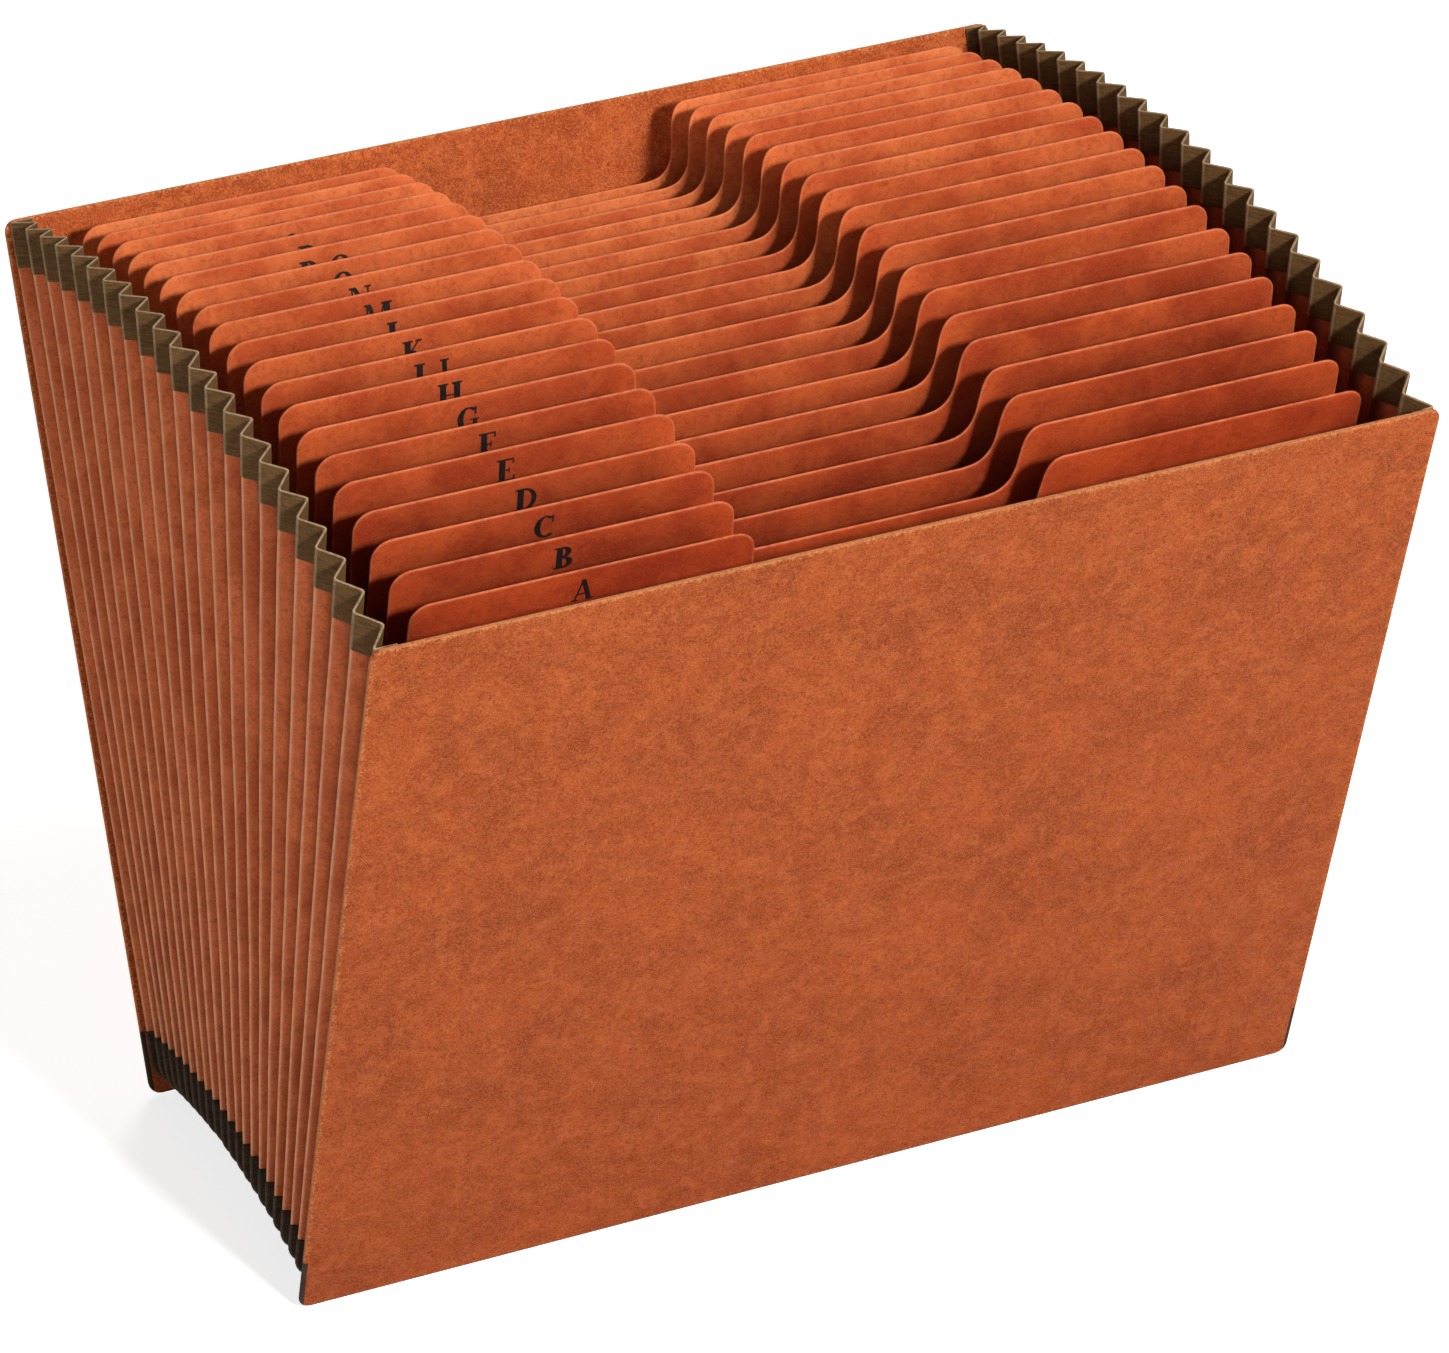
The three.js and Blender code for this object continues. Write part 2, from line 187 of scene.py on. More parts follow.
def fold_corners(station, seed):
    """Sharp corners (inset, along) of the zigzag at one station, with a flap at each end."""
    x, h, inward_x, inward_up, pitch, depth = station
    where = h if inward_up < 0.5 else -abs(HALF_WIDTH - abs(x)) * 0.4
    corners = [(FOLD_INSET + END_FLAP, -END_SHIFT)]
    last = 2 * POCKETS
    for fold in range(last + 1):
        inner = fold % 2 == 1
        inset = FOLD_INSET + (depth if inner else 0.0)
        along = fold * pitch / 2
        if fold == 0:
            along -= END_SHIFT
        elif fold == last:
            along += END_SHIFT
        else:
            sway = noise.noise(Vector((fold * 1.7, where * 0.012, seed)))
            push = noise.noise(Vector((fold * 2.3 + 40.0, where * 0.02, seed)))
            along += SWAY * pitch * sway
            inset += INNER_PUSH * push if inner else OUTER_PUSH * abs(push)
        corners.append((inset, along))
    corners.append((FOLD_INSET + END_FLAP, POCKETS * pitch + END_SHIFT))
    return corners


def fold_cut(leg):
    return min(FOLD_ROUND, leg.length * FOLD_SHARE)


def centre_line(station, seed):
    """Middle of the folded sheet at one station: rounded folds with flat legs between them.
    Each point is (inset, along, fold weight, fold sign)."""
    corners = fold_corners(station, seed)
    points = [(corners[0][0], corners[0][1], 0.0, 0.0)]
    for k in range(1, len(corners) - 1):
        here = Vector(corners[k])
        before = Vector(corners[k - 1]) - here
        after = Vector(corners[k + 1]) - here
        cut = min(fold_cut(before), fold_cut(after))
        p0 = here + before.normalized() * cut
        p2 = here + after.normalized() * cut
        sign = -1.0 if k % 2 == 0 else 1.0
        for j, weight in enumerate(FOLD_WEIGHTS):
            t = j / (len(FOLD_WEIGHTS) - 1)
            p = p0 * (1 - t) ** 2 + here * 2 * t * (1 - t) + p2 * t * t
            points.append((p.x, p.y, weight, sign))
        if k < len(corners) - 2:
            leg_end = Vector(corners[k + 1]) - after.normalized() * fold_cut(after)
            for t in LEG_PLACES:
                q = p2.lerp(leg_end, t)
                points.append((q.x, q.y, 0.0, 0.0))
    points.append((corners[-1][0], corners[-1][1], 0.0, 0.0))
    return points


def outward_normals(line):
    """Unit normals of the sheet that point to the outside of the file, to smaller insets."""
    normals = []
    last = len(line) - 1
    for k in range(last + 1):
        a = Vector(line[max(k - 1, 0)][:2])
        b = Vector(line[min(k + 1, last)][:2])
        d = (b - a).normalized()
        normal = Vector((-d.y, d.x))
        normals.append(normal if normal.x < 0 else -normal)
    return normals


def add_piece(name, verts, faces, material, values=(), smooth=True, replaced=()):
    """A mesh piece on the root body, with its point values, material and slot."""
    mesh = bpy.data.meshes.new(name)
    mesh.from_pydata(verts, [], faces)
    for word, numbers in values:
        mesh.attributes.new(word, "FLOAT", "POINT").data.foreach_set("value", numbers)
    for polygon in mesh.polygons:
        polygon.use_smooth = smooth
    mesh.materials.append(material)
    mesh.update()
    piece = bpy.data.objects.new(name, mesh)
    scene.collection.objects.link(piece)
    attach(piece, "root")
    if replaced:
        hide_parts(*replaced)


def sheet_faces(rings, count):
    """Both faces and all edges of a sheet whose rings hold count outer, then count inner points."""
    faces = []
    ring = 2 * count
    for r in range(rings - 1):
        a = r * ring
        b = a + ring
        for k in range(count - 1):
            faces.append((a + k, a + k + 1, b + k + 1, b + k))
            faces.append((a + count + k + 1, a + count + k, b + count + k, b + count + k + 1))
        faces.append((a, b, b + count, a + count))
        e = count - 1
        faces.append((a + e, a + count + e, b + count + e, b + e))
    last = (rings - 1) * ring
    for k in range(count - 1):
        faces.append((k + 1, k, count + k, count + k + 1))
        faces.append((last + k, last + k + 1, last + count + k + 1, last + count + k))
    return faces


def pleated(name, rows, seed, material, replaced):
    """A folded sheet through rows of (station, outer offset, inner offset)."""
    verts = []
    folds = []
    rises = []
    acrosses = []
    insides = []
    for station, far, near in rows:
        line = centre_line(station, seed)
        x, h, inward_x, inward_up, pitch, depth = station
        whole = pitch * POCKETS
        normals = outward_normals(line)
        for offset in (far, near):
            run = 0.0
            for k, (inset, along, weight, sign) in enumerate(line):
                if k:
                    run += math.hypot(inset - line[k - 1][0], along - line[k - 1][1])
                deep = inset + normals[k].x * offset
                shifted = along + normals[k].y * offset
                y, z = fan_point(shifted / whole, h + inward_up * deep)
                verts.append(((x + inward_x * deep) * MM, y * MM, z * MM))
                folds.append(weight * sign)
                rises.append(h if inward_up < 0.5 else 0.0)
                acrosses.append(run)
                insides.append(min(1.0, max(0.0, (inset - FOLD_INSET) / depth)))
    faces = sheet_faces(len(rows), len(line))
    values = (("fold", folds), ("rise", rises), ("across", acrosses), ("inside", insides))
    add_piece(name, verts, faces, material, values, replaced=replaced)


# Small helpers for node materials.
def srgb(r, g, b):
    def lin(c):
        c = c / 255
        return c / 12.92 if c <= 0.04045 else ((c + 0.075) / 1.055) ** 2.4

    return (lin(r), lin(g), lin(b), 1.0)


class Nodes:
    def __init__(self, name):
        self.material = bpy.data.materials.new(name)
        self.material.use_nodes = True
        self.tree = self.material.node_tree
        self.tree.nodes.clear()
        self.shader = self.tree.nodes.new("ShaderNodeBsdfPrincipled")
        out = self.tree.nodes.new("ShaderNodeOutputMaterial")
        self.tree.links.new(self.shader.outputs[0], out.inputs[0])

    def put(self, socket, value):
        if isinstance(value, bpy.types.NodeSocket):
            self.tree.links.new(value, socket)
        else:
            socket.default_value = value

    def coords(self):
        """Place on the object in millimetres."""
        c = self.tree.nodes.new("ShaderNodeTexCoord")
        return self.vector("MULTIPLY", c.outputs["Object"], (1000.0, 1000.0, 1000.0))

    def vector(self, operation, a, b):
        n = self.tree.nodes.new("ShaderNodeVectorMath")
        n.operation = operation
        self.put(n.inputs[0], a)
        self.put(n.inputs[1], b)
        return n.outputs["Value"] if operation == "DOT_PRODUCT" else n.outputs["Vector"]

    def math(self, operation, a, b=0.0, clamp=False):
        n = self.tree.nodes.new("ShaderNodeMath")
        n.operation = operation
        n.use_clamp = clamp
        self.put(n.inputs[0], a)
        self.put(n.inputs[1], b)
        return n.outputs[0]

    def times(self, a, b):
        return self.math("MULTIPLY", a, b)

    def plus(self, a, b):
        return self.math("ADD", a, b)

    def minus(self, a, b):
        return self.math("SUBTRACT", a, b)

    def split(self, v):
        n = self.tree.nodes.new("ShaderNodeSeparateXYZ")
        self.put(n.inputs[0], v)
        return n.outputs

    def join(self, x, y, z):
        n = self.tree.nodes.new("ShaderNodeCombineXYZ")
        self.put(n.inputs[0], x)
        self.put(n.inputs[1], y)
        self.put(n.inputs[2], z)
        return n.outputs[0]

    def noise(self, v, scale, detail=2.0, rough=0.5, distortion=0.0):
        n = self.tree.nodes.new("ShaderNodeTexNoise")
        self.put(n.inputs["Vector"], v)
        n.inputs["Scale"].default_value = scale
        n.inputs["Detail"].default_value = detail
        n.inputs["Roughness"].default_value = rough
        n.inputs["Distortion"].default_value = distortion
        return n.outputs["Fac"]

    def cells(self, v, scale):
        n = self.tree.nodes.new("ShaderNodeTexVoronoi")
        self.put(n.inputs["Vector"], v)
        n.inputs["Scale"].default_value = scale
        return n.outputs["Distance"]

    def between(self, value, low, high, to_low=0.0, to_high=1.0, smooth=True):
        """to_low at low, to_high at high, and a ramp between them."""
        n = self.tree.nodes.new("ShaderNodeMapRange")
        n.interpolation_type = "SMOOTHSTEP" if smooth else "LINEAR"
        self.put(n.inputs[0], value)
        self.put(n.inputs[1], low)
        self.put(n.inputs[2], high)
        self.put(n.inputs[3], to_low)
        self.put(n.inputs[4], to_high)
        return n.outputs[0]

    def mix(self, share, a, b):
        n = self.tree.nodes.new("ShaderNodeMix")
        n.data_type = "RGBA"
        self.put(n.inputs[0], share)
        self.put(n.inputs[6], a)
        self.put(n.inputs[7], b)
        return n.outputs[2]

    def tint(self, colour, mask, most, other):
        """The colour, with up to most of the other one where the mask is 1."""
        return self.mix(self.times(mask, most), colour, other)

    def attribute(self, name):
        n = self.tree.nodes.new("ShaderNodeAttribute")
        n.attribute_name = name
        return n.outputs["Fac"]

    def openness(self, reach):
        """1 in the open, towards 0 deep between two sheets."""
        n = self.tree.nodes.new("ShaderNodeAmbientOcclusion")
        n.samples = 4
        n.inputs["Distance"].default_value = reach
        return n.outputs["AO"]

    def bump(self, height, distance, strength):
        n = self.tree.nodes.new("ShaderNodeBump")
        n.inputs["Strength"].default_value = strength
        n.inputs["Distance"].default_value = distance
        self.put(n.inputs["Height"], height)
        self.put(self.shader.inputs["Normal"], n.outputs[0])

    def finish(self, colour, roughness, specular):
        self.put(self.shader.inputs["Base Color"], colour)
        self.put(self.shader.inputs["Roughness"], roughness)
        self.put(self.shader.inputs["Specular IOR Level"], specular)
        return self.material


def board_material(name, foot, up, tone):
    """Mottled, fine-grained covering with worn edges and the dark binding at the lower corners."""
    def hue(r, g, b):
        return srgb(r * tone, g * tone, b * tone)

    m = Nodes(name)
    p = m.coords()
    x = m.split(p)[0]
    # Height up the leaning board, and distance in from its edges.
    h = m.minus(m.vector("DOT_PRODUCT", p, (0.0, up[0], up[1])), foot[0] * up[0] + foot[1] * up[1])
    side = m.minus(HALF_WIDTH, m.math("ABSOLUTE", x))
    top = m.minus(COVER_HEIGHT, h)
    edge = m.math("MINIMUM", side, m.math("MINIMUM", top, h))
    # Clouds and grain of the covering, with painted shade that makes it a little darker towards the foot.
    cloud = m.noise(p, 0.035, 7.0, 0.7, 0.3)
    patch = m.noise(p, 0.16, 5.0, 0.7, 0.6)
    grain = m.noise(p, 0.85, 3.0, 0.7, 1.4)
    fine = m.noise(p, 2.0, 2.0, 0.6, 0.6)
    pore = m.cells(p, 1.5)
    colour = m.mix(m.between(cloud, 0.34, 0.66), hue(142, 58, 24), hue(172, 76, 33))
    colour = m.tint(colour, m.between(patch, 0.44, 0.64), 0.6, hue(194, 98, 48))
    colour = m.tint(colour, m.between(grain, 0.48, 0.6), 0.68, hue(110, 40, 14))
    colour = m.tint(colour, m.between(fine, 0.5, 0.62), 0.5, hue(208, 115, 58))
    colour = m.tint(colour, m.between(pore, 0.4, 0.7), 0.2, hue(190, 98, 48))
    # Painted shade: darker towards the foot.
    low = m.between(h, COVER_HEIGHT, 0.0, smooth=False)
    colour = m.tint(colour, low, 0.2, hue(104, 42, 16))
    # Wear along the edges, and the bare rim.
    speck = m.noise(p, 1.3, 2.0, 0.7)
    worn = m.plus(m.times(speck, 9.0), -4.0)
    wear = m.between(m.minus(worn, edge), -0.2, 0.9)
    colour = m.tint(colour, wear, 0.55, hue(216, 142, 80))
    bare = m.between(m.plus(edge, m.times(speck, 0.6)), 0.65, 0.3)
    colour = m.tint(colour, bare, 0.3, hue(206, 136, 92))
    # Dark binding beside the corner tapes and along the foot.
    below_tape = m.between(h, CORNER_TAPE_REACH + 0.2, CORNER_TAPE_REACH - 0.2)
    bound = m.times(m.between(side, 1.35, 1.1), below_tape)
    sill = m.between(h, 0.8, 0.55)
    colour = m.mix(m.math("MAXIMUM", bound, m.times(sill, 0.8)), colour, srgb(54, 38, 26))
    m.bump(m.plus(m.times(grain, 0.7), m.times(pore, 0.4)), 0.00025, 0.8)
    rough = m.between(m.noise(p, 0.2, 3.0), 0.3, 0.7, 0.6, 0.78)
    return m.finish(colour, rough, 0.12)


def card_material():
    """Index card, with painted shade that makes it darker and redder towards the front, light rubbed edges
    and painted shade in the gaps between cards.
    """
    m = Nodes("index_card")
    p = m.coords()
    number = m.attribute("number")
    edge = m.attribute("edge")
    shifted = m.vector("ADD", p, m.join(m.times(number, 71.0), 0.0, 0.0))
    cloud = m.noise(shifted, 0.04, 5.0, 0.65, 0.3)
    fibre = m.noise(shifted, 0.6, 4.0, 0.7, 0.8)
    fine = m.noise(shifted, 1.8, 2.0, 0.6)
    # Painted shade: cards further to the front get darker, redder colours by their number.
    front = m.times(number, 0.05)
    dark = m.mix(front, srgb(218, 94, 42), srgb(168, 52, 22))
    light = m.mix(front, srgb(250, 136, 72), srgb(212, 82, 34))
    colour = m.mix(m.between(cloud, 0.32, 0.68), dark, light)
    colour = m.tint(colour, m.between(fibre, 0.46, 0.68), 0.4, srgb(138, 50, 26))
    colour = m.tint(colour, m.between(fine, 0.52, 0.7), 0.2, srgb(228, 130, 84))
    rub = m.between(m.noise(shifted, 0.35, 4.0, 0.65), 0.3, 0.65)
    wear = m.times(m.between(edge, 0.1, 1.0), m.plus(m.times(rub, 0.45), 0.15))
    colour = m.mix(wear, colour, srgb(226, 132, 88))
    # Painted shade: near black deep between the cards, where they shade each other.
    painted_gap_shade = m.between(m.openness(0.017), 0.58, 0.4)
    colour = m.tint(colour, painted_gap_shade, 0.95, srgb(24, 7, 5))
    m.bump(m.plus(fibre, m.times(fine, 0.5)), 0.00014, 0.7)
    rough = m.between(fibre, 0.3, 0.7, 0.55, 0.72)
    return m.finish(colour, rough, 0.15)


def gusset_material():
    """Folded paper, with rubbed wear and a painted highlight on the outer folds, and painted shade in the
    valleys.
    """
    m = Nodes("gusset_paper")
    p = m.coords()
    cloud = m.noise(p, 0.05, 5.0, 0.6, 0.5)
    fibre = m.noise(p, 0.8, 4.0, 0.65, 1.0)
    fold = m.attribute("fold")
    inside = m.attribute("inside")
    colour = m.mix(m.between(cloud, 0.3, 0.7), srgb(200, 92, 48), srgb(238, 124, 72))
    colour = m.tint(colour, m.between(fibre, 0.45, 0.68), 0.4, srgb(126, 52, 28))
    # Painted shade deep in the valleys, and a painted highlight towards the outer folds.
    colour = m.tint(colour, m.between(inside, 0.3, 0.9), 0.85, srgb(70, 26, 15))
    colour = m.tint(colour, m.between(inside, 0.35, 0.0), 0.4, srgb(232, 142, 98))
    # Rubbed wear and a painted highlight along the outer folds.
    rub = m.between(m.noise(p, 0.25, 4.0, 0.65), 0.3, 0.62)
    outer = m.times(m.between(fold, 0.1, 1.0), m.plus(m.times(rub, 0.5), 0.45))
    shade = m.between(m.openness(0.009), 0.7, 0.4)
    colour = m.tint(colour, shade, 0.7, srgb(78, 22, 10))
    colour = m.mix(outer, colour, srgb(250, 180, 132))
    m.bump(fibre, 0.00015, 0.6)
    return m.finish(colour, m.between(fibre, 0.3, 0.7, 0.6, 0.8), 0.12)


def cloth_material(name, dark, light, line):
    """Woven tape: short horizontal threads crossed by finer upright ones."""
    m = Nodes(name)
    p = m.coords()
    rise = m.attribute("rise")
    across = m.attribute("across")
    weft_place = m.join(m.times(across, 0.22), m.times(rise, 1.5), 0.0)
    warp_place = m.join(m.times(across, 1.9), m.times(rise, 0.5), 3.0)
    weft = m.noise(weft_place, 1.0, 3.0, 0.55)
    warp = m.noise(warp_place, 1.0, 2.0, 0.5)
    weave = m.plus(m.times(weft, 0.65), m.times(warp, 0.35))
    cloud = m.noise(p, 0.09, 4.0, 0.6)
    shade = m.plus(m.times(weave, 0.7), m.times(cloud, 0.3))
    colour = m.mix(m.between(shade, 0.3, 0.7), dark, light)
    fold = m.math("ABSOLUTE", m.attribute("fold"))
    rub = m.between(m.noise(p, 0.6, 3.0, 0.65), 0.25, 0.6)
    outer = m.times(m.between(fold, 0.3, 1.0), m.plus(m.times(rub, 0.4), 0.3))
    colour = m.tint(colour, outer, 0.8, line)
    lip = m.between(rise, ROOF - 0.3, ROOF - 0.1)
    colour = m.mix(m.times(lip, m.plus(m.times(rub, 0.4), 0.25)), colour, line)
    m.bump(weave, 0.00025, 0.8)
    return m.finish(colour, m.between(weave, 0.35, 0.65, 0.9, 0.7), 0.12)


def ink_material():
    m = Nodes("index_ink")
    p = m.coords()
    fade = m.noise(p, 1.4, 3.0, 0.6)
    colour = m.mix(m.between(fade, 0.45, 0.75), srgb(16, 12, 11), srgb(44, 26, 20))
    m.bump(fade, 0.00005, 0.4)
    return m.finish(colour, m.between(fade, 0.3, 0.7, 0.5, 0.7), 0.3)


# Dividers: the same cards with an ogee step, rolled edges and a slightly uneven stand.
def seat_inset(h):
    """How far in a card starts where it sits in an outer fold."""
    slope = math.hypot(depth_at(h), pitch_at(h) / 2)
    clear = SEAT_CLEARANCE + DIVIDER_THICKNESS / 2 * depth_at(h) / slope
    return FOLD_INSET + clear / ((pitch_at(h) / 2) / slope)


def arc_points(cx, ch, radius, start, stop, steps):
    angles = [math.radians(start + (stop - start) * k / steps) for k in range(steps + 1)]
    return [(cx + radius * math.cos(a), ch + radius * math.sin(a)) for a in angles]


def smooth_point(before, a, b, after, t):
    """Point at share t of the smooth curve from a to b, with the slopes of its neighbours."""
    point = []
    for c in (0, 1):
        leave = (b[c] - before[c]) / 2
        arrive = (after[c] - a[c]) / 2
        near_a = (2 * t ** 3 - 3 * t ** 2 + 1) * a[c] + (t ** 3 - 2 * t ** 2 + t) * leave
        near_b = (3 * t ** 2 - 2 * t ** 3) * b[c] + (t ** 3 - t ** 2) * arrive
        point.append(near_a + near_b)
    return tuple(point)


def step_points(left):
    rise = RAISED_TOP - STEP_LEVEL
    step = [(left + STEP_FOOT + run, STEP_LEVEL + rise * share) for run, share in STEP_CURVE]
    points = []
    for k in range(len(step) - 1):
        before = step[max(k - 1, 0)]
        after = step[min(k + 2, len(step) - 1)]
        for t in (0.0, 0.5):
            points.append(smooth_point(before, step[k], step[k + 1], after, t))
    points.append(step[-1])
    return points


def card_outline():
    """Outline (x, height) of a card, anticlockwise from its lower left corner."""
    left = -HALF_WIDTH
    seat_low = seat_inset(0)
    seat_high = seat_inset(SHOULDER)
    r = PLEAT_CORNER_RADIUS - seat_low
    raised_end = -left - RAISED_END_INSET
    points = arc_points(left + seat_low + r, seat_low + r, r, 180, 270, 5)
    points += arc_points(-left - seat_low - r, seat_low + r, r, 270, 360, 5)
    points.append((-left - seat_high, SHOULDER - SHOULDER_DROP))
    points.append((-left - seat_high - SHOULDER_RISE, SHOULDER))
    points.append((raised_end, SHOULDER + SHOULDER_RISE))
    points += arc_points(raised_end - RAISED_CORNER, RAISED_TOP - RAISED_CORNER, RAISED_CORNER, 0, 90, 7)
    points += step_points(left)
    points.append((left + TAB_RIGHT_END + TAB_FOOT_RUN, STEP_LEVEL))
    points += arc_points(left + TAB_RIGHT_END - TAB_CORNER, TAB_TOP - TAB_CORNER, TAB_CORNER, 0, 90, 7)
    points += arc_points(left + TAB_LEFT_INSET + TAB_CORNER, TAB_TOP - TAB_CORNER, TAB_CORNER, 90, 180, 8)
    points.append((left + TAB_LEFT_INSET, SHOULDER + SHOULDER_RISE))
    points.append((left + seat_high + SHOULDER_RISE, SHOULDER))
    points.append((left + seat_high, SHOULDER - SHOULDER_DROP))
    return points


def inset_outline(points, distance):
    result = []
    count = len(points)
    for k in range(count):
        a = Vector(points[k - 1])
        b = Vector(points[k])
        c = Vector(points[(k + 1) % count])
        d0 = (b - a).normalized()
        d1 = (c - b).normalized()
        n = Vector((-d0.y - d1.y, d0.x + d1.x))
        n = n.normalized()
        stretch = min(1.4, 1 / max(0.3, n.dot(Vector((-d0.y, d0.x)))))
        result.append(tuple(b + n * distance * stretch))
    return result


def wave(number, x, h):
    """A small lean and turn of each card, which leaves it flat."""
    lean = noise.noise(Vector((number * 3.7, 0.5, 0.5)))
    turn = noise.noise(Vector((number * 5.3, 8.5, 0.5)))
    return CARD_LEAN * lean * h / COVER_HEIGHT + CARD_TURN * turn * x / HALF_WIDTH


def dense(points):
    """Long straight runs get points in between."""
    result = []
    for k, p in enumerate(points):
        q = points[(k + 1) % len(points)]
        parts = max(1, int(math.hypot(q[0] - p[0], q[1] - p[1]) / OUTLINE_SPACING))
        for j in range(parts):
            result.append((p[0] + (q[0] - p[0]) * j / parts, p[1] + (q[1] - p[1]) * j / parts))
    return result


def place_on_card(number, x, h, out):
    """Place in metres of a point out in front of the middle of a card."""
    u = number / POCKETS
    low = fan_point(u, 0)
    high = fan_point(u, COVER_HEIGHT)
    length = math.hypot(high[0] - low[0], high[1] - low[1])
    y, z = fan_point(u, h)
    shift = out + wave(number, x, h)
    forward = (high[1] - low[1]) / length
    upward = (high[0] - low[0]) / length
    return (x * MM, (y - forward * shift) * MM, (z + upward * shift) * MM)


def card_faces(count):
    faces = [tuple(range(count))]
    last = len(CARD_RINGS) - 1
    for r in range(last):
        for k in range(count):
            n = (k + 1) % count
            faces.append((r * count + n, r * count + k, (r + 1) * count + k, (r + 1) * count + n))
    faces.append(tuple(reversed(range(last * count, (last + 1) * count))))
    return faces


def make_cards():
    material = card_material()
    outline = dense(card_outline())
    faces = card_faces(len(outline))
    for number in range(1, POCKETS):
        verts = []
        edges = []
        for distance, out, edge in CARD_RINGS:
            for x, h in inset_outline(outline, distance):
                verts.append(place_on_card(number, x, h, out))
                edges.append(edge)
        values = (("edge", edges), ("number", [float(number)] * len(verts)))
        name = "index_card_%02d" % number
        replaced = ["divider_%02d" % number]
        add_piece(name, verts, faces, material, values, replaced=replaced)


# Pleats: three sheets and four tapes, with rounded and slightly uneven folds.
def top_tape_rows(side):
    low = ROOF - TOP_TAPE_REACH
    rows = [(side_station(side, low + 0.15), HALF_TAPE * 0.7, -HALF_TAPE * 0.7)]
    for k in range(7):
        h = low + 0.4 + (TOP_TAPE_REACH - 0.75) * k / 6
        rows.append((side_station(side, h), HALF_TAPE, -HALF_TAPE))
    rows.append((side_station(side, ROOF - 0.1), HALF_TAPE * 0.85, -HALF_TAPE * 0.85))
    rows.append((side_station(side, ROOF), HALF_TAPE * 0.5, -HALF_TAPE * 0.5))
    return rows


def side_stations(side, top, parts):
    fall = top - PLEAT_CORNER_RADIUS
    return [side_station(side, top - fall * k / parts) for k in range(parts + 1)]


def paper_rows(stations):
    return [(s, HALF_SHEET, -HALF_SHEET) for s in stations]


def make_pleats():
    paper = gusset_material()
    brown = cloth_material("top_tape_cloth", srgb(76, 52, 28), srgb(120, 86, 48), srgb(200, 170, 132))
    black = cloth_material("corner_tape_cloth", srgb(30, 21, 15), srgb(62, 46, 33), srgb(96, 76, 58))
    for side, word, seed in ((-1, "left", 0.0), (1, "right", 9.0)):
        stations = side_stations(side, ROOF - PAPER_BELOW_ROOF, 30)
        stations += [corner_station(side, 45 * k / 4) for k in range(1, 5)]
        pleated("gusset_paper_" + word, paper_rows(stations), seed, paper, [word + "_gusset"])
        rows = top_tape_rows(side)
        pleated("top_cloth_" + word, rows, seed, brown, ["top_tape_" + word])
        stations = side_stations(side, CORNER_TAPE_REACH, 3)
        stations += [corner_station(side, 90 * k / 8) for k in range(1, 9)]
        rows = [(s, HALF_SHEET + CORNER_TAPE_OUTER, HALF_SHEET + CORNER_TAPE_LIFT) for s in stations]
        pleated("corner_cloth_" + word, rows, seed, black, ["corner_tape_" + word])
    flat = HALF_WIDTH - PLEAT_CORNER_RADIUS
    stations = [corner_station(-1, 45 + 45 * k / 4) for k in range(4)]
    stations += [bottom_station(-flat + 2 * flat * k / 24) for k in range(25)]
    stations += [corner_station(1, 90 - 45 * k / 4) for k in range(1, 5)]
    pleated("gusset_paper_bottom", paper_rows(stations), 4.0, paper, ["bottom_gusset"])


# Index letters: stems, thin bars and bowls. Each stroke is a list of corners on a cap height of 1.
THIN = 0.075


def block(x0, y0, x1, y1):
    return [[(x0, y0), (x1, y0), (x1, y1), (x0, y1)]]


def foot_bar(x0, x1):
    return block(x0, 0, x1, THIN)


def head_bar(x0, x1):
    return block(x0, 1 - THIN, x1, 1)


def slant(x0, y0, x1, y1, w):
    return [[(x0 - w / 2, y0), (x0 + w / 2, y0), (x1 + w / 2, y1), (x1 - w / 2, y1)]]


def bowl(cx, cy, rx, ry, start, stop, wide=0.21, thin=THIN):
    quads = []
    steps = max(4, int(abs(stop - start) / 15))
    for k in range(steps):
        a = math.radians(start + (stop - start) * k / steps)
        b = math.radians(start + (stop - start) * (k + 1) / steps)
        quads.append([
            (cx + rx * math.cos(a), cy + ry * math.sin(a)),
            (cx + rx * math.cos(b), cy + ry * math.sin(b)),
            (cx + (rx - wide) * math.cos(b), cy + (ry - thin) * math.sin(b)),
            (cx + (rx - wide) * math.cos(a), cy + (ry - thin) * math.sin(a)),
        ])
    return quads


def stem(x, low=True, high=True, w=0.22):
    quads = block(x, 0, x + w, 1)
    if low:
        quads += foot_bar(x - 0.08, x + w + 0.08)
    if high:
        quads += head_bar(x - 0.08, x + w + 0.08)
    return quads


